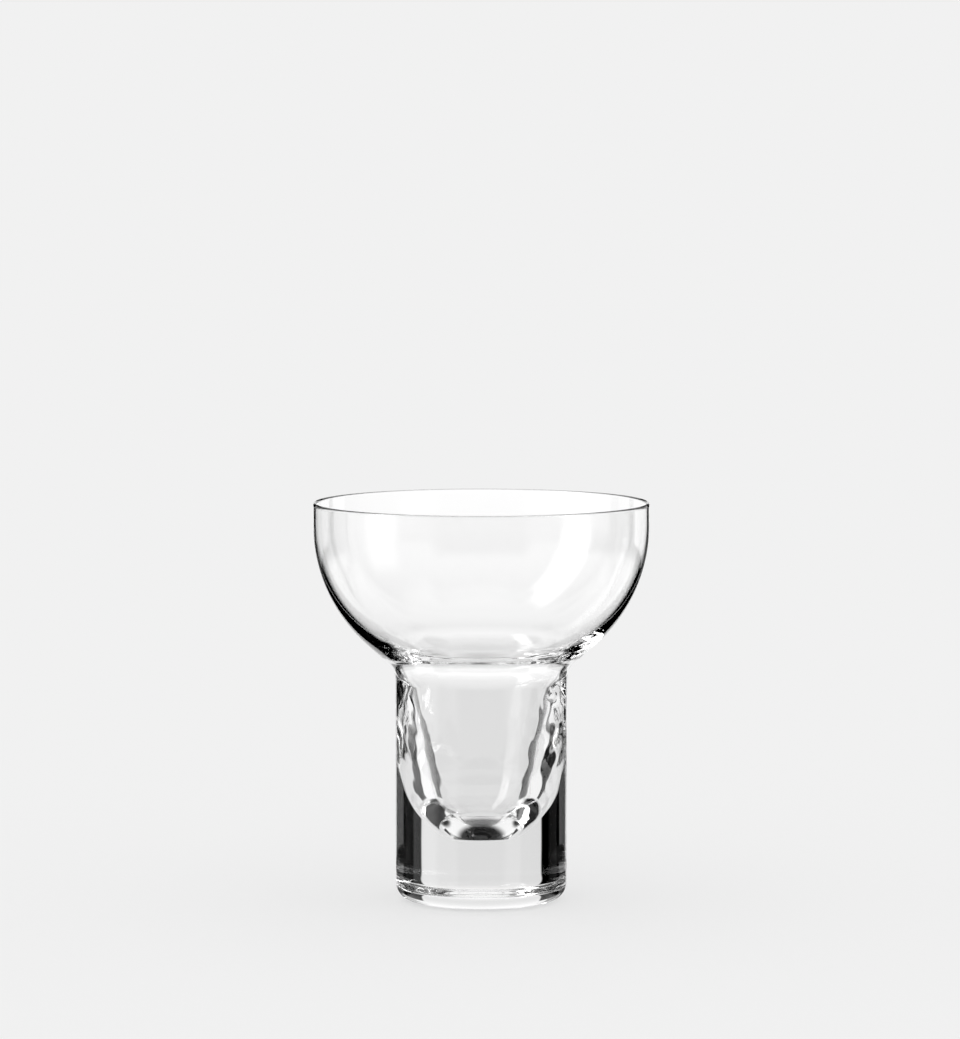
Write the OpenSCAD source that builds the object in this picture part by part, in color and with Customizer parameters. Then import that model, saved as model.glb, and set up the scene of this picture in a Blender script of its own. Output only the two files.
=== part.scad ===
// Stemless cocktail glass: a thin, open bowl on a heavy cylindrical foot.
// The bowl runs down into a tapered, round-ended well inside the foot.
// The two pieces are fused hot, face to face, at the shoulder.
// Millimetres, +Z up, origin at the centre of the base.

/* [Bowl] */
// Outer diameter at the rim
rim_d = 90; // [82:0.5:98]
// Height of the whole glass
glass_h = 107; // [101:0.5:115]
// Upright part of the side below the rim
side_h = 6.3; // [3:0.1:9]
// Wall at the rim, which is rounded over its full width
rim_wall = 0.85; // [0.7:0.05:1.6]
// Wall that the belly would reach straight below its centre
floor_wall = 4.3; // [3:0.1:5.5]
// Straight flank between the belly and the shoulder fillet
flank_l = 7.3; // [2:0.1:10]
// Concave fillet between the flank and the foot
fillet_r = 7; // [5:0.1:9]

/* [Foot] */
// Outer diameter of the foot
foot_d = 46; // [42:0.5:50]
// Height of the shoulder, where the bowl is fused to the foot
shoulder_h = 59; // [55:0.5:63]
// Rounding of the bottom edge
base_edge_r = 4.5; // [2:0.1:6]

/* [Well] */
// Wall between the well and the outside at the shoulder
seam_wall = 3; // [2.4:0.1:4]
// Slope of the well's side against the vertical, in degrees
well_taper = 12; // [9:0.5:14]
// Rounding of the well's mouth in the bowl
mouth_r = 10; // [5:0.5:12]
// Height of the well's rounded end above the lowest point of its floor
nose_h = 13.4; // [10:0.2:17]
// Diameter of the well's dished floor
well_floor_d = 13; // [9:0.5:15]
// Depth of the dish in that floor
dish_h = 1.1; // [0.5:0.1:2]
// Solid glass below the well
base_t = 16.4; // [13:0.2:20]

/* [Hidden] */
$fn = 180;
// Turn between two neighbouring points of an arc, in degrees
arc_step = 2.5;
// Clear glass
GLASS = [0.88, 0.92, 0.93, 0.45];

rim_r = rim_d / 2;
foot_r = foot_d / 2;

// Outside of the bowl: an upright side, a belly arc, a straight flank and a fillet, all tangent
belly_z = glass_h - side_h;
rise = belly_z - shoulder_h;
overhang = rim_r - foot_r;
belly_r = (rise^2 + (overhang - fillet_r)^2 - fillet_r^2 - flank_l^2) / (2 * overhang);
belly_c = [rim_r - belly_r, belly_z];
fillet_c = [foot_r + fillet_r, shoulder_h];
flank_a = atan2(rise, fillet_c.x - belly_c.x) - atan2(flank_l, belly_r + fillet_r);

// Inside of the bowl: its arc starts level with the belly and leaves a thicker wall lower down
rim_edge_r = rim_wall / 2;
hollow_r = belly_r - floor_wall;
hollow_c = [rim_r - rim_wall - hollow_r, belly_z];

// Side of the well: a straight taper through its radius at the shoulder
well_r = foot_r - seam_wall;
well_seam = [well_r, shoulder_h];
well_up = [sin(well_taper), cos(well_taper)];
well_in = [-cos(well_taper), sin(well_taper)];

// Mouth of the well: a rounding in the glass, tangent to the taper and to the bowl's inside
mouth_line = well_seam - mouth_r * well_in;
mouth_gap = mouth_line - hollow_c;
mouth_reach = hollow_r + mouth_r;
mouth_run = -mouth_gap * well_up - sqrt((mouth_gap * well_up)^2 - mouth_gap * mouth_gap + mouth_reach^2);
mouth_c = mouth_line + mouth_run * well_up;
mouth_out = hollow_c + (mouth_c - hollow_c) * hollow_r / mouth_reach;

// End of the well: an arc, tangent to the taper, that ends at the edge of the dished floor
nose_top = well_seam + well_up * (base_t + nose_h - shoulder_h) / well_up.y;
floor_edge = [well_floor_d / 2, base_t + dish_h];
nose_chord = floor_edge - nose_top;
nose_r = nose_chord * nose_chord / (2 * nose_chord * well_in);
nose_c = nose_top + nose_r * well_in;
dish_r = (floor_edge.x^2 + dish_h^2) / (2 * dish_h);
dish_c = [0, base_t + dish_r];

// Direction of a vector, in degrees
function heading(v) = atan2(v.y, v.x);

// Points of an arc round c, from one direction to another
function arc(c, r, from, to) =
    let (steps = ceil(abs(to - from) / arc_step))
    [for (i = [0 : steps]) let (a = from + (to - from) * i / steps) c + r * [cos(a), sin(a)]];

// Outline of the bowl's wall, up its outside, over the rim and down its inside to the seam
function bowl_outline() = concat(
    arc(fillet_c, fillet_r, 180, 180 - flank_a),
    arc(belly_c, belly_r, -flank_a, 0),
    arc([rim_r - rim_edge_r, glass_h - rim_edge_r], rim_edge_r, 0, 180),
    arc(hollow_c, hollow_r, 0, heading(mouth_out - hollow_c)),
    arc(mouth_c, mouth_r, heading(mouth_out - mouth_c), heading(well_in)),
    [well_seam]
);

// Outline of the foot, out along the base, up to the seam and down into the well
function foot_outline() = concat(
    [[0, 0]],
    arc([foot_r - base_edge_r, base_edge_r], base_edge_r, -90, 0),
    [[foot_r, shoulder_h], well_seam],
    arc(nose_c, nose_r, heading(-well_in), heading(floor_edge - nose_c)),
    arc(dish_c, dish_r, heading(floor_edge - dish_c), -90)
);

// Thin bowl with its shoulder, open at the bottom into the well
module bowl() {
    color(GLASS)
        rotate_extrude()
            polygon(bowl_outline());
}

// Heavy foot with the well and the solid base
module foot() {
    color(GLASS)
        rotate_extrude()
            polygon(foot_outline());
}

bowl();
foot();
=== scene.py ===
"""Looks of a stemless cocktail glass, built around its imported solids.

A thin blown bowl and a heavy foot, both of clear glass, stand on a pale floor in a bright-field studio.
A white card behind the glass shines through it, and the dark places around the card draw its edges.
Only light that the glass bends or mirrors sees them: the camera sees a plain floor and backdrop.
"""

import logging
import math
from dataclasses import dataclass, field
from enum import Enum, IntEnum

import bpy
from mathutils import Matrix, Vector


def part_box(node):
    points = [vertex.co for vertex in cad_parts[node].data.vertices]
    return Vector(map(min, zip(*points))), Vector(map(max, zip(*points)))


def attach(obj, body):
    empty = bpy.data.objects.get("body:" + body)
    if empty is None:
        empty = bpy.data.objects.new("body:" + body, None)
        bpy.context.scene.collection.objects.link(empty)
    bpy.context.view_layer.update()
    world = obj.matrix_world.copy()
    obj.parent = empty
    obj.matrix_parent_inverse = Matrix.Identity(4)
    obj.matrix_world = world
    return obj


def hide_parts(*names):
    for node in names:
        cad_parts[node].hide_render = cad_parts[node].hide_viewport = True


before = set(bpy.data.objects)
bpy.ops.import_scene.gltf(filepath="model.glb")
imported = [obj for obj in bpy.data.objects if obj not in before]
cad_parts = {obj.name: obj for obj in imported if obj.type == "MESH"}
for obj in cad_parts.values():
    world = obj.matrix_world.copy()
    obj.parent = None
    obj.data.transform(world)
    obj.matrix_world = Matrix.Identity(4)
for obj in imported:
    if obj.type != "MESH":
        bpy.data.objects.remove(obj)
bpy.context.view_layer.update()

Tree = bpy.types.NodeTree
Socket = bpy.types.NodeSocket
Outputs = bpy.types.NodeOutputs
Material = bpy.types.Material
Piece = bpy.types.Object

LOG = logging.getLogger("cocktail_glass")
BODY = "root"
MM = 0.001
FULL_TURN = 2 * math.pi
WHITE = "#FFFFFF"
# Lengths below this, in mm, count as nothing
TINY = 1e-6
# Faces that meet at a greater angle keep a sharp edge between them, in degrees
SHARP_DEGREES = 30.0
# Half width of a patch of the surroundings that runs all round, past its own soft edges, in degrees
ALL_ROUND = 190.0
# Elevation past straight up or down, which puts a patch's soft edge out of sight, in degrees
PAST_POLE = 100.0


class Zone(IntEnum):
    """Finish that a stretch of an outline wears; the value is its material slot."""

    SURFACE = 0
    SEAM = 1


class Side(Enum):
    """Side of the glass wall that a point of an outline lies on."""

    OUTSIDE = "outside"
    INSIDE = "inside"


def linear(hex_code: str) -> tuple[float, float, float, float]:
    """Turn an sRGB hex colour into a linear one.

    Args:
        hex_code: Colour such as "#F1F1F1".

    Returns:
        Red, green, blue and an alpha of 1.
    """
    parts = [int(hex_code[i : i + 2], 16) / 255 for i in (1, 3, 5)]
    r, g, b = (c / 12.92 if c <= 0.04045 else ((c + 0.055) / 1.055) ** 2.4 for c in parts)
    return r, g, b, 1.0


def add_node(
    tree: Tree, kind: str, inputs: dict | None = None, **settings: object
) -> bpy.types.Node:
    """Add a node with its settings, socket values and links.

    Args:
        tree: Tree that takes the node.
        kind: Blender's name for the type of node.
        inputs: Socket name or number, to a value or to the output socket that it is linked from.
        **settings: Properties of the node.

    Returns:
        The new node.
    """
    node = tree.nodes.new(kind)
    for name, value in settings.items():
        setattr(node, name, value)
    for socket, value in (inputs or {}).items():
        if isinstance(value, Socket):
            tree.links.new(value, node.inputs[socket])
        else:
            node.inputs[socket].default_value = value
    return node


def blank_material(name: str) -> tuple[Material, Tree]:
    """Make a material with an empty tree.

    Args:
        name: Name of the material.

    Returns:
        The material and its tree.
    """
    material = bpy.data.materials.new(name)
    material.use_nodes = True
    material.node_tree.nodes.clear()
    return material, material.node_tree


def millimetres(tree: Tree) -> Outputs:
    """Add the place that is shaded, in mm.

    Args:
        tree: Tree that takes the nodes.

    Returns:
        Sockets X, Y and Z of the place.
    """
    place = add_node(tree, "ShaderNodeNewGeometry").outputs["Position"]
    scaled = add_node(tree, "ShaderNodeVectorMath", {0: place, "Scale": 1 / MM}, operation="SCALE")
    return add_node(tree, "ShaderNodeSeparateXYZ", {0: scaled.outputs[0]}).outputs


def window(tree: Tree, value: Socket, low: float, high: float, soft: float) -> Socket:
    """Add a soft-edged window over a value.

    Args:
        tree: Tree that takes the nodes.
        value: Socket that is looked at.
        low: Lower edge.
        high: Upper edge.
        soft: Half width of both edges.

    Returns:
        Socket that is 1 between the edges and 0 beyond them.
    """
    middle, reach = (low + high) / 2, (high - low) / 2
    off = add_node(tree, "ShaderNodeMath", {0: value, 1: middle}, operation="SUBTRACT").outputs[0]
    off = add_node(tree, "ShaderNodeMath", {0: off}, operation="ABSOLUTE").outputs[0]
    edge = {"Value": off, "From Min": reach + soft, "From Max": reach - soft}
    return add_node(tree, "ShaderNodeMapRange", edge, interpolation_type="SMOOTHSTEP").outputs[0]


def plane(name: str, corners: list[tuple[float, float, float]]) -> Piece:
    """Make a one-faced piece of the stage.

    Args:
        name: Name of the piece.
        corners: Its four corners, in metres.

    Returns:
        The new object.
    """
    mesh = bpy.data.meshes.new(name)
    mesh.from_pydata(corners, [], [(0, 1, 2, 3)])
    piece = bpy.data.objects.new(name, mesh)
    bpy.context.scene.collection.objects.link(piece)
    return piece


def heading(v: Vector) -> float:
    """Give a vector's direction in degrees."""
    return math.degrees(math.atan2(v.y, v.x))


def polar(degrees: float) -> Vector:
    """Give the unit vector that points in a direction."""
    return Vector((math.cos(math.radians(degrees)), math.sin(math.radians(degrees))))


@dataclass(frozen=True)
class Wave:
    """One train of ripples in a hand-worked wall.

    It has a number of crests round the glass, slanted the other way where that is negative, a pitch up the
    wall and a depth in mm, and a phase in degrees.
    """

    crests: int
    pitch: float
    depth: float
    phase: float


@dataclass(frozen=True)
class Ripple:
    """Slight unevenness of a wall, between two heights in mm, faded out over a distance.

    The jaws of the glassmaker's tool left it on two opposite sides, the closer to them the higher the focus,
    and more on the right one by the lean.
    """

    waves: tuple[Wave, ...]
    low: float
    high: float
    fade: float
    focus: int = 4
    lean: float = 0.5

    def offset(self, angle: float, z: float) -> float:
        """Give how far the wall stands proud at a place.

        Args:
            angle: Angle round the axis, in radians.
            z: Height in mm.

        Returns:
            Radial offset in mm.
        """
        edge = min(z - self.low, self.high - z) / self.fade
        share = min(max(edge, 0.0), 1.0)
        share *= share * (3 - 2 * share)
        if share == 0:
            return 0.0
        share *= math.cos(angle) ** self.focus * (1 + self.lean * math.cos(angle))
        return share * sum(
            w.depth * math.cos(w.crests * angle + FULL_TURN * z / w.pitch + math.radians(w.phase))
            for w in self.waves
        )


WELL_WAVES = (
    Wave(crests=7, pitch=19, depth=0.06, phase=10),
    Wave(crests=-12, pitch=11, depth=0.03, phase=120),
    Wave(crests=19, pitch=6, depth=0.015, phase=300),
)
FOOT_WAVES = (
    Wave(crests=3, pitch=40, depth=0.02, phase=40),
    Wave(crests=-5, pitch=25, depth=0.012, phase=200),
)


@dataclass
class Outline:
    """Half section of a turned piece, as (radius, height) in mm, walked with the glass on the left."""

    start: Vector
    step: float
    side: Side = Side.OUTSIDE
    points: list[Vector] = field(default_factory=list)
    sides: list[Side] = field(default_factory=list)
    zones: list[Zone] = field(default_factory=list)

    def __post_init__(self) -> None:
        """Set the first point."""
        self.points.append(self.start)
        self.sides.append(self.side)

    def line(self, end: Vector, zone: Zone = Zone.SURFACE) -> None:
        """Draw a straight stretch.

        Args:
            end: Where it ends.
            zone: Finish of the stretch. A seam is one band, with no rings between its edges.
        """
        begin = self.points[-1]
        length = (end - begin).length
        if length < TINY:
            return
        count = 1 if zone is Zone.SEAM else math.ceil(length / self.step)
        for i in range(1, count + 1):
            self.points.append(begin.lerp(end, i / count))
            self.sides.append(self.side)
            self.zones.append(zone)

    def arc(self, centre: Vector, radius: float, first: float, last: float, step: float = 0) -> None:
        """Draw an arc, after a straight stretch up to its first point.

        Args:
            centre: Centre of the arc.
            radius: Its radius.
            first: Direction of its first point from the centre, in degrees.
            last: Direction of its last point.
            step: Spacing of its rings, or 0 for the outline's own.
        """
        self.line(centre + radius * polar(first))
        turn = last - first
        count = math.ceil(abs(math.radians(turn)) * radius / (step or self.step))
        for i in range(1, count + 1):
            self.line(centre + radius * polar(first + turn * i / count))

    def turned(self, name: str, segments: int, ripples: dict[Side, Ripple]) -> Piece:
        """Turn the outline about the Z axis into one closed, smooth mesh.

        Args:
            name: Name of the piece.
            segments: Faces round the axis.
            ripples: Unevenness of each side.

        Returns:
            The new object.
        """
        verts: list[tuple[float, float, float]] = []
        rings: list[list[int]] = []
        closed = (self.points[-1] - self.points[0]).length < TINY
        points = self.points[:-1] if closed else self.points
        for point, side in zip(points, self.sides):
            first = len(verts)
            if point.x < TINY:
                verts.append((0.0, 0.0, point.y * MM))
                rings.append([first] * segments)
                continue
            for k in range(segments):
                angle = FULL_TURN * k / segments
                r = point.x + (ripples[side].offset(angle, point.y) if side in ripples else 0.0)
                verts.append((r * MM * math.cos(angle), r * MM * math.sin(angle), point.y * MM))
            rings.append(list(range(first, first + segments)))
        faces: list[tuple[int, ...]] = []
        wear: list[int] = []
        following = rings[1:] + rings[:1] if closed else rings[1:]
        for below, above, zone in zip(rings, following, self.zones):
            for k in range(segments):
                n = (k + 1) % segments
                corners = dict.fromkeys((below[k], below[n], above[n], above[k]))
                faces.append(tuple(corners))
                wear.append(int(zone))
        mesh = bpy.data.meshes.new(name)
        mesh.from_pydata(verts, [], faces)
        mesh.polygons.foreach_set("material_index", wear)
        mesh.shade_smooth()
        mesh.set_sharp_from_angle(angle=math.radians(SHARP_DEGREES))
        mesh.update()
        piece = bpy.data.objects.new(name, mesh)
        bpy.context.scene.collection.objects.link(piece)
        return piece


@dataclass(frozen=True)
class ClearGlass:
    """Soda-lime glass, blown and fire-polished: colourless and mirror-smooth, so only bent light is seen.

    Working it by hand leaves slow, shallow swells, with a pitch and a depth in mm.
    """

    name: str
    pitch: float
    depth: float
    tint: str = WHITE
    ior: float = 1.515
    roughness: float = 0.0

    def make(self) -> Material:
        """Make the finish.

        Returns:
            The material.
        """
        material, tree = blank_material(self.name)
        place = add_node(tree, "ShaderNodeTexCoord").outputs["Object"]
        swells = {"Vector": place, "Scale": 1 / (self.pitch * MM), "Detail": 1.0}
        height = add_node(tree, "ShaderNodeTexNoise", swells).outputs[0]
        bump = add_node(tree, "ShaderNodeBump", {"Height": height, "Distance": self.depth * MM})
        shader = add_node(
            tree,
            "ShaderNodeBsdfPrincipled",
            {
                "Base Color": linear(self.tint),
                "Roughness": self.roughness,
                "IOR": self.ior,
                "Transmission Weight": 1.0,
                "Normal": bump.outputs[0],
            },
        )
        add_node(tree, "ShaderNodeOutputMaterial", {"Surface": shader.outputs["BSDF"]})
        return material


# Blown thin: the wall hardly bends what lies behind, and long swells make it swim a little
BOWL_GLASS = ClearGlass("thin_blown_glass", pitch=14, depth=0.02)
# Worked thick with hot tools: what lies behind is bent into bands, and closer swells make these waver
FOOT_GLASS = ClearGlass("thick_foot_glass", pitch=9, depth=0.03)


@dataclass(frozen=True)
class FusedSeam:
    """Face of the hot-fused joint: the melt runs on through it, so it neither bends nor mirrors light."""

    name: str = "fused_seam"

    def make(self) -> Material:
        """Make the finish.

        Returns:
            The material.
        """
        material, tree = blank_material(self.name)
        shader = add_node(tree, "ShaderNodeBsdfTransparent")
        add_node(tree, "ShaderNodeOutputMaterial", {"Surface": shader.outputs["BSDF"]})
        return material


@dataclass(frozen=True)
class Seam:
    """Flat ring at the shoulder where the bowl is fused to the foot, in mm and degrees."""

    outer_r: float
    height: float
    wall: float = 3.0
    taper: float = 12.0

    @property
    def outer(self) -> Vector:
        """Outer edge of the ring."""
        return Vector((self.outer_r, self.height))

    @property
    def inner(self) -> Vector:
        """Inner edge of the ring, on the side of the well."""
        return Vector((self.outer_r - self.wall, self.height))

    @property
    def up(self) -> Vector:
        """Direction up the side of the well."""
        return polar(90 - self.taper)

    @property
    def inward(self) -> Vector:
        """Direction from the side of the well into it."""
        return polar(180 - self.taper)


class TurnedPiece:
    """What the bowl and the foot share: each is one turned mesh of glass with a fused face."""

    glass: ClearGlass

    def dress(self, piece: Piece, joint: Material) -> None:
        """Give the piece its glass and the finish of its fused face, in the order of the zones."""
        for material in (self.glass.make(), joint):
            piece.data.materials.append(material)


@dataclass
class Bowl(TurnedPiece):
    """Thin open bowl with its shoulder, in mm."""

    rim_r: float
    height: float
    seam: Seam
    side_h: float = 6.3
    rim_wall: float = 0.85
    floor_wall: float = 4.3
    flank_l: float = 7.3
    fillet_r: float = 7.0
    mouth_r: float = 10.0
    ring_step: float = 0.7
    rim_step: float = 0.2
    segments: int = 288
    inside: Ripple = Ripple(WELL_WAVES, low=59, high=74, fade=4)
    glass: ClearGlass = BOWL_GLASS

    def outline(self) -> Outline:
        """Draw the wall, up its outside, over the rim and down its inside to the seam.

        Returns:
            The closed outline.
        """
        seam = self.seam
        belly_z = self.height - self.side_h
        rise = belly_z - seam.height
        overhang = self.rim_r - seam.outer_r
        squares = rise**2 + (overhang - self.fillet_r) ** 2 - self.fillet_r**2 - self.flank_l**2
        belly_r = squares / (2 * overhang)
        belly_c = Vector((self.rim_r - belly_r, belly_z))
        fillet_c = seam.outer + Vector((self.fillet_r, 0))
        flank = math.degrees(
            math.atan2(rise, fillet_c.x - belly_c.x) - math.atan2(self.flank_l, belly_r + self.fillet_r)
        )
        hollow_r = belly_r - self.floor_wall
        hollow_c = Vector((self.rim_r - self.rim_wall - hollow_r, belly_z))
        mouth_c = self.mouth_centre(hollow_c, hollow_r)
        mouth_out = hollow_c + (mouth_c - hollow_c) * hollow_r / (hollow_r + self.mouth_r)
        lip_r = self.rim_wall / 2
        lip_c = Vector((self.rim_r - lip_r, self.height - lip_r))

        wall = Outline(seam.outer, self.ring_step)
        wall.arc(fillet_c, self.fillet_r, 180, 180 - flank)
        wall.arc(belly_c, belly_r, -flank, 0)
        wall.arc(lip_c, lip_r, 0, 90, self.rim_step)
        wall.side = Side.INSIDE
        wall.arc(lip_c, lip_r, 90, 180, self.rim_step)
        wall.arc(hollow_c, hollow_r, 0, heading(mouth_out - hollow_c))
        wall.arc(mouth_c, self.mouth_r, heading(mouth_out - mouth_c), heading(seam.inward))
        wall.line(seam.inner)
        wall.line(seam.outer, Zone.SEAM)
        return wall

    def mouth_centre(self, hollow_c: Vector, hollow_r: float) -> Vector:
        """Find the rounding of the well's mouth, tangent to the taper and to the bowl's inside.

        Args:
            hollow_c: Centre of the arc inside the bowl.
            hollow_r: Its radius.

        Returns:
            Centre of the rounding.
        """
        up = self.seam.up
        start = self.seam.inner - self.mouth_r * self.seam.inward
        gap = start - hollow_c
        reach = hollow_r + self.mouth_r
        run = -gap.dot(up) - math.sqrt(gap.dot(up) ** 2 - gap.dot(gap) + reach**2)
        return start + run * up

    def build(self) -> Piece:
        """Make the mesh in place of its solid.

        Returns:
            The piece.
        """
        piece = self.outline().turned("blown_bowl", self.segments, {Side.INSIDE: self.inside})
        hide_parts("bowl")
        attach(piece, BODY)
        return piece


@dataclass
class Foot(TurnedPiece):
    """Heavy foot with the tapered, round-ended well and the solid base, in mm."""

    seam: Seam
    base_edge_r: float = 4.5
    nose_h: float = 13.4
    well_floor_r: float = 6.5
    dish: float = 1.1
    base_t: float = 16.4
    ring_step: float = 0.7
    segments: int = 288
    outside: Ripple = Ripple(FOOT_WAVES, low=8, high=59, fade=6)
    inside: Ripple = Ripple(WELL_WAVES, low=18, high=59, fade=5)
    glass: ClearGlass = FOOT_GLASS

    def outline(self) -> Outline:
        """Draw the foot, out along the base, up to the seam and down into the well.

        Returns:
            The outline, from the axis to the axis.
        """
        seam = self.seam
        nose_top = seam.inner + seam.up * (self.base_t + self.nose_h - seam.height) / seam.up.y
        floor_edge = Vector((self.well_floor_r, self.base_t + self.dish))
        chord = floor_edge - nose_top
        nose_r = chord.dot(chord) / (2 * chord.dot(seam.inward))
        nose_c = nose_top + nose_r * seam.inward
        dish_r = (self.well_floor_r**2 + self.dish**2) / (2 * self.dish)
        dish_c = Vector((0, self.base_t + dish_r))
        edge_c = Vector((seam.outer_r - self.base_edge_r, self.base_edge_r))

        body = Outline(Vector((0, 0)), self.ring_step)
        body.arc(edge_c, self.base_edge_r, -90, 0)
        body.line(seam.outer)
        body.side = Side.INSIDE
        body.line(seam.inner, Zone.SEAM)
        body.arc(nose_c, nose_r, heading(-seam.inward), heading(floor_edge - nose_c))
        body.arc(dish_c, dish_r, heading(floor_edge - dish_c), -90)
        return body

    def build(self) -> Piece:
        """Make the mesh in place of its solid.

        Returns:
            The piece.
        """
        ripples = {Side.OUTSIDE: self.outside, Side.INSIDE: self.inside}
        piece = self.outline().turned("solid_foot", self.segments, ripples)
        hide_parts("foot")
        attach(piece, BODY)
        return piece


@dataclass(frozen=True)
class Sky:
    """Patch of the far surroundings, seen only by light that the glass bends or mirrors; angles in degrees.

    The azimuth runs from straight behind the glass towards its right.
    """

    name: str
    azimuth: float
    half_width: float
    low: float
    high: float
    soft: float
    level: float

    def paint(self, tree: Tree, view: tuple[Socket, Socket], under: Socket | float) -> Socket:
        """Paint the patch over what is there already.

        Args:
            tree: Tree of the world.
            view: Sockets with the azimuth and the elevation looked at.
            under: Level of what is there already.

        Returns:
            Socket with the level of both.
        """
        off = add_node(tree, "ShaderNodeMath", {0: view[0], 1: self.azimuth}, operation="SUBTRACT")
        half_turns = {0: off.outputs[0], 1: 180.0, 2: -180.0}
        turn = add_node(tree, "ShaderNodeMath", half_turns, operation="WRAP").outputs[0]
        across = window(tree, turn, -self.half_width, self.half_width, self.soft)
        rise = window(tree, view[1], self.low, self.high, self.soft)
        mask = add_node(tree, "ShaderNodeMath", {0: across, 1: rise}, operation="MULTIPLY").outputs[0]
        mix = {0: mask, 2: under, 3: self.level}
        return add_node(tree, "ShaderNodeMix", mix, label=self.name).outputs[0]


@dataclass(frozen=True)
class Panel:
    """Upright panel close behind the glass, seen only by light that the glass bends or mirrors, in mm.

    Its level climbs from the floor up to the head height, and x is its middle.
    """

    name: str
    distance: float
    half_width: float
    low: float
    high: float
    foot_level: float
    head_level: float
    head_height: float
    x: float = 0.0
    soft: float = 2.5

    def hang(self) -> Piece:
        """Hang the panel, with soft edges.

        Returns:
            The panel.
        """
        reach = self.half_width + self.soft
        left, right, y = (self.x - reach) * MM, (self.x + reach) * MM, self.distance * MM
        low, high = self.low * MM, self.high * MM
        panel = plane(self.name, [(left, y, low), (right, y, low), (right, y, high), (left, y, high)])
        material, tree = blank_material(self.name)
        place = millimetres(tree)
        climb = {
            "Value": place["Z"],
            "From Max": self.head_height,
            "To Min": self.foot_level,
            "To Max": self.head_level,
        }
        level = add_node(tree, "ShaderNodeMapRange", climb, interpolation_type="SMOOTHSTEP").outputs[0]
        across = window(tree, place["X"], self.x - self.half_width, self.x + self.half_width, self.soft)
        rise = window(tree, place["Z"], self.low + self.soft, self.high - self.soft, self.soft)
        mask = add_node(tree, "ShaderNodeMath", {0: across, 1: rise}, operation="MULTIPLY").outputs[0]
        clear = add_node(tree, "ShaderNodeBsdfTransparent").outputs[0]
        lit = add_node(tree, "ShaderNodeEmission", {"Strength": level}).outputs[0]
        mixed = add_node(tree, "ShaderNodeMixShader", {0: mask, 1: clear, 2: lit}).outputs[0]
        add_node(tree, "ShaderNodeOutputMaterial", {"Surface": mixed})
        material.cycles.emission_sampling = "NONE"
        panel.data.materials.append(material)
        panel.visible_camera = panel.visible_diffuse = panel.visible_shadow = False
        return panel


@dataclass(frozen=True)
class PaintedShadow:
    """Painted shadow: a dark spot on the floor near the glass, seen only through the glass; centre and half
    sizes in mm.

    The soft edge is a share of the half sizes.
    """

    name: str
    x: float
    y: float
    half_x: float
    half_y: float
    soft: float = 0.2

    def mask(self, tree: Tree, place: Outputs) -> Socket:
        """Add the outline of the painted shadow, an ellipse.

        Args:
            tree: Tree of the floor's material.
            place: Sockets with the place in mm.

        Returns:
            Socket that is 1 in the spot and 0 outside it.
        """
        squares = []
        for axis, centre, half in (("X", self.x, self.half_x), ("Y", self.y, self.half_y)):
            off = add_node(tree, "ShaderNodeMath", {0: place[axis], 1: centre}, operation="SUBTRACT")
            share = add_node(tree, "ShaderNodeMath", {0: off.outputs[0], 1: half}, operation="DIVIDE")
            square = add_node(tree, "ShaderNodeMath", {0: share.outputs[0], 1: 2.0}, operation="POWER")
            squares.append(square.outputs[0])
        total = add_node(tree, "ShaderNodeMath", dict(enumerate(squares)), operation="ADD").outputs[0]
        reach = add_node(tree, "ShaderNodeMath", {0: total}, operation="SQRT").outputs[0]
        return window(tree, reach, -1.0, 1.0, self.soft)


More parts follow.
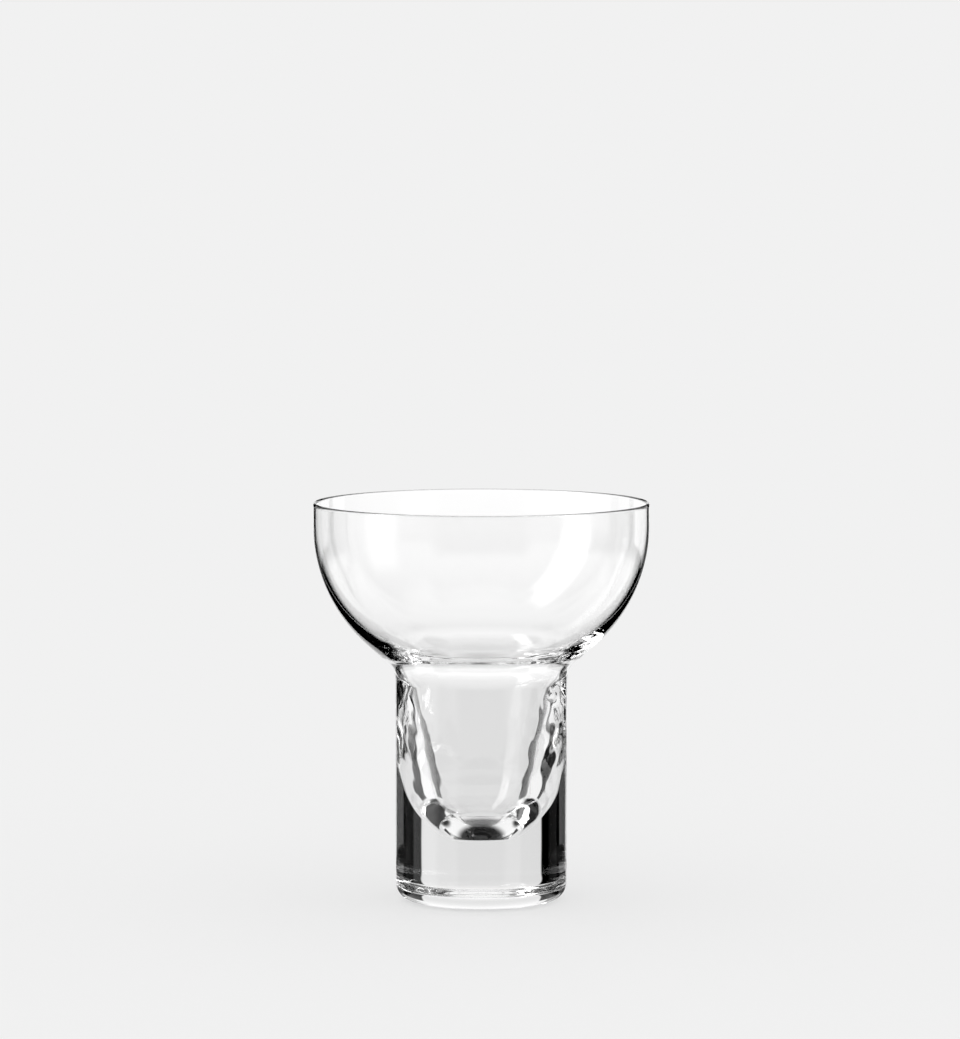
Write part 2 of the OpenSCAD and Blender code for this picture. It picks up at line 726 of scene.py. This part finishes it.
@dataclass
class Studio:
    """Bright-field studio: a white card behind the glass, dark places round it, a strip light, a pale floor
    with painted shadows.

    A level is a strength, where 1 is white. The sizes of the floor are in metres.
    """

    backdrop: str = "#F1F1F1"
    dome_level: float = 1.0
    shadow_level: float = 0.4
    pale_level: float = 0.85
    # Strength of the painted shadows on the floor, nearly black
    painted_shadow_level: float = 0.01
    floor_half: float = 4.0
    floor_gap: float = 0.0002
    floor_glow: float = 0.6
    # Painted one over the other, from the far room to the strip light at the left
    sky: tuple[Sky, ...] = (
        Sky("unlit room", azimuth=0, half_width=ALL_ROUND, low=5, high=62, soft=5, level=0.02),
        Sky("grey wall at left", azimuth=-101.5, half_width=23.5, low=5, high=62, soft=5, level=0.3),
        Sky("ceiling", azimuth=0, half_width=ALL_ROUND, low=48, high=PAST_POLE, soft=6, level=0.8),
        Sky("bright wall behind", azimuth=0, half_width=70, low=14, high=PAST_POLE, soft=4, level=1.0),
        Sky("unlit front", azimuth=180, half_width=58, low=-6, high=62, soft=5, level=0.02),
        Sky("dark right side", azimuth=96, half_width=30, low=-40, high=16, soft=3, level=0.0),
        Sky("dim edges of the flags", azimuth=0, half_width=76, low=-40, high=16, soft=3, level=0.1),
        Sky("black flags", azimuth=0, half_width=57, low=-40, high=16, soft=1.5, level=0.0),
        Sky("bright floor", azimuth=0, half_width=ALL_ROUND, low=-PAST_POLE, high=-14, soft=3, level=0.95),
        Sky("feet of the flags", azimuth=0, half_width=37, low=-42, high=10, soft=2, level=0.0),
        Sky("dark behind the camera", azimuth=180, half_width=32, low=-15.5, high=50, soft=6, level=0.0),
        Sky("strip light, foot", azimuth=-106.5, half_width=11.5, low=-25, high=8, soft=6, level=1.8),
        Sky("strip light", azimuth=-106.5, half_width=11.5, low=5, high=55, soft=5, level=5.0),
    )
    # The dark gaps between the card and its wings draw the thin line along the bowl's sides
    panels: tuple[Panel, ...] = (
        Panel(
            "white_card", distance=141, half_width=74, low=-500, high=125,
            foot_level=0.78, head_level=1.08, head_height=101,
        ),
        Panel(
            "left_wing", distance=142, half_width=62, low=56, high=140,
            foot_level=0.1, head_level=0.5, head_height=75, x=-168,
        ),
        Panel(
            "right_wing", distance=142, half_width=62, low=56, high=140,
            foot_level=0.1, head_level=0.8, head_height=75, x=168,
        ),
    )
    # Painted shadows: dark spots on the floor under the base, beside the foot and behind it, that only the
    # glass shows
    painted_shadows: tuple[PaintedShadow, ...] = (
        PaintedShadow("under the base", x=0, y=-2, half_x=13, half_y=17),
        PaintedShadow("left of the foot", x=-31, y=0, half_x=10, half_y=12),
        PaintedShadow("right of the foot", x=31, y=0, half_x=10, half_y=12),
        PaintedShadow("behind, at left", x=-49, y=53, half_x=15, half_y=16),
        PaintedShadow("behind, at right", x=49, y=53, half_x=15, half_y=16),
    )

    def light(self) -> None:
        """Make the world: what the camera, the floor and the glass each see of the studio."""
        world = bpy.data.worlds.new("studio")
        bpy.context.scene.world = world
        world.use_nodes = True
        world.cycles.sampling_method = "NONE"
        tree = world.node_tree
        tree.nodes.clear()
        direction = add_node(tree, "ShaderNodeTexCoord").outputs["Generated"]
        axes = add_node(tree, "ShaderNodeSeparateXYZ", {0: direction}).outputs
        azimuth = self.degrees(tree, "ARCTAN2", axes["X"], axes["Y"])
        view = (azimuth, self.degrees(tree, "ARCSINE", axes["Z"]))
        level: Socket | float = self.pale_level
        for patch in self.sky:
            level = patch.paint(tree, view, level)
        path = add_node(tree, "ShaderNodeLightPath").outputs
        # A plain dome lights the floor, dimmed through the glass: a soft shadow, with no bright streaks
        dome = {0: path["Is Diffuse Ray"], 2: self.shadow_level, 3: self.dome_level}
        dome_seen = add_node(tree, "ShaderNodeMix", dome).outputs[0]
        bent = {0: path["Diffuse Depth"], 2: level, 3: dome_seen}
        bent_seen = add_node(tree, "ShaderNodeMix", bent).outputs[0]
        plain = {0: path["Is Camera Ray"], 2: bent_seen, 3: linear(self.backdrop)[0]}
        seen = add_node(tree, "ShaderNodeMix", plain).outputs[0]
        lamp = add_node(tree, "ShaderNodeBackground", {"Color": linear(WHITE), "Strength": seen})
        add_node(tree, "ShaderNodeOutputWorld", {"Surface": lamp.outputs["Background"]})
        for panel in self.panels:
            panel.hang()

    @staticmethod
    def degrees(tree: Tree, operation: str, *values: Socket) -> Socket:
        """Add an inverse angle function and turn its result to degrees.

        Args:
            tree: Tree that takes the nodes.
            operation: Name of the function.
            *values: Sockets that it reads.

        Returns:
            Socket that holds the angle.
        """
        angle = add_node(tree, "ShaderNodeMath", dict(enumerate(values)), operation=operation)
        return add_node(tree, "ShaderNodeMath", {0: angle.outputs[0]}, operation="DEGREES").outputs[0]

    def lay_floor(self) -> Piece:
        """Lay the pale floor: the camera sees it with a soft shadow, bent light sees only the shadows
        painted on it.

        Returns:
            The floor.
        """
        half, z = self.floor_half, -self.floor_gap
        floor = plane("floor", [(-half, -half, z), (half, -half, z), (half, half, z), (-half, half, z)])
        material, tree = blank_material("pale_floor")
        # Matt paper that also glows a little, so that it runs into the backdrop and its shadow stays faint
        pale = linear(self.backdrop)
        matt = add_node(tree, "ShaderNodeBsdfDiffuse", {"Color": pale}).outputs[0]
        glow = add_node(tree, "ShaderNodeEmission", {"Color": pale}).outputs[0]
        paper = add_node(tree, "ShaderNodeMixShader", {0: self.floor_glow, 1: matt, 2: glow}).outputs[0]
        place = millimetres(tree)
        # Painted shadows on the floor, seen only by light that the glass bends or mirrors; elsewhere the
        # floor is clear to it
        spot: Socket | float = 0.0
        for painted_shadow in self.painted_shadows:
            spots = {0: painted_shadow.mask(tree, place), 1: spot}
            spot = add_node(tree, "ShaderNodeMath", spots, operation="MAXIMUM", label=painted_shadow.name).outputs[0]
        clear = add_node(tree, "ShaderNodeBsdfTransparent").outputs[0]
        dark = add_node(tree, "ShaderNodeEmission", {"Strength": self.painted_shadow_level}).outputs[0]
        spotted = add_node(tree, "ShaderNodeMixShader", {0: spot, 1: clear, 2: dark}).outputs[0]
        path = add_node(tree, "ShaderNodeLightPath").outputs
        kinds = {0: path["Is Transmission Ray"], 1: path["Is Glossy Ray"]}
        bent = add_node(tree, "ShaderNodeMath", kinds, operation="MAXIMUM").outputs[0]
        mixed = add_node(tree, "ShaderNodeMixShader", {0: bent, 1: paper, 2: spotted}).outputs[0]
        add_node(tree, "ShaderNodeOutputMaterial", {"Surface": mixed})
        material.cycles.emission_sampling = "NONE"
        floor.data.materials.append(material)
        return floor


@dataclass(frozen=True)
class PhotoCamera:
    """Camera at the photograph's viewing angle, in mm; the focal length is in pixels of its frame."""

    distance: float = 1226.0
    height: float = 208.0
    aim_height: float = 102.3
    side_step: float = -0.35
    focal_px: float = 4600.0
    frame_px: float = 1039.0
    sensor: float = 36.0

    def build(self) -> Piece:
        """Make the scene's camera.

        Returns:
            The camera.
        """
        data = bpy.data.cameras.new("camera")
        data.sensor_width = self.sensor
        data.lens = self.focal_px / self.frame_px * self.sensor
        camera = bpy.data.objects.new("camera", data)
        camera.location = (self.side_step * MM, -self.distance * MM, self.height * MM)
        tilt = math.atan2(self.height - self.aim_height, self.distance)
        camera.rotation_euler = (math.pi / 2 - tilt, 0, 0)
        bpy.context.scene.collection.objects.link(camera)
        bpy.context.scene.camera = camera
        return camera


def allow_deep_glass(bounces: int = 24) -> None:
    """Let light cross many walls of glass before it is given up.

    Args:
        bounces: Walls that it may cross or mirror from.
    """
    cycles = bpy.context.scene.cycles
    cycles.max_bounces = bounces
    cycles.transmission_bounces = bounces
    cycles.glossy_bounces = bounces
    cycles.transparent_max_bounces = bounces
    cycles.blur_glossy = 0.0


def main() -> None:
    """Build the camera, the studio and the glass."""
    logging.basicConfig(level=logging.INFO, format="%(name)s: %(message)s")
    bpy.context.scene.view_settings.view_transform = "Standard"
    allow_deep_glass()
    PhotoCamera().build()
    studio = Studio()
    studio.light()
    studio.lay_floor()

    bowl_low, bowl_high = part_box("bowl")
    foot_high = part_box("foot")[1]
    seam = Seam(outer_r=foot_high[0] / MM, height=bowl_low[2] / MM)
    bowl = Bowl(rim_r=bowl_high[0] / MM, height=bowl_high[2] / MM, seam=seam)
    joint = FusedSeam().make()
    for part in (bowl, Foot(seam=seam)):
        piece = part.build()
        part.dress(piece, joint)
        LOG.info("%s: %d faces", piece.name, len(piece.data.polygons))


if __name__ == "__main__":
    main()
